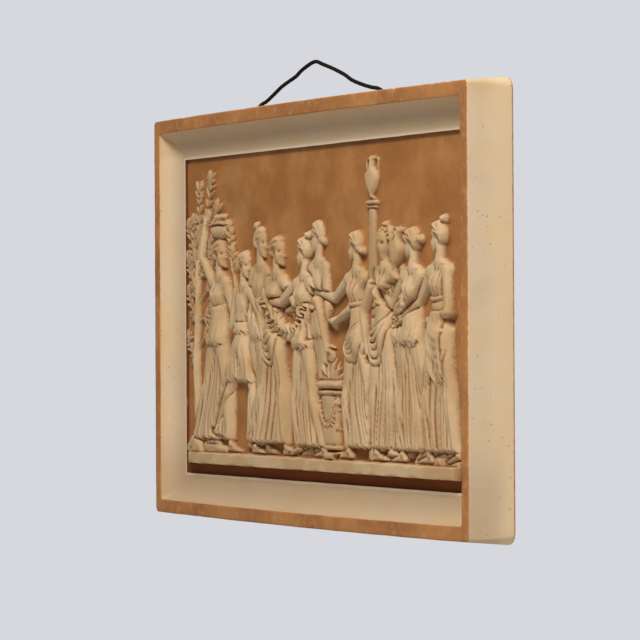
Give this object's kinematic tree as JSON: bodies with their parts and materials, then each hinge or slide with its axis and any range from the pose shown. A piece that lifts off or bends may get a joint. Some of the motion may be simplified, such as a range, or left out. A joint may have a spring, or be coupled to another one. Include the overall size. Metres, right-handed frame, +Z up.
{
  "type": "terracotta relief frieze",
  "caption": "Wide fired clay wall relief of a draped procession, sunk in a deep frame with a cream hollow moulding and a raw clay edge, hung by a black cord.",
  "frame": {"origin": "the nail that the cord hangs over, in the plane of the wall", "axes": "+X along the frieze's length to the viewer's right, +Y from the frieze into the wall, +Z up"},
  "size_m": [0.5208, 0.0365, 0.3576],
  "materials": {
    "frame_clay": "matte",
    "relief_clay": "matte",
    "cord": "matte"
  },
  "bodies": {
    "root": {"frame": "frame_clay", "relief_panel": "relief_clay", "hanging_cord": "cord", "cord_knot_left": "cord", "cord_knot_right": "cord"}
  },
  "joints": []
}
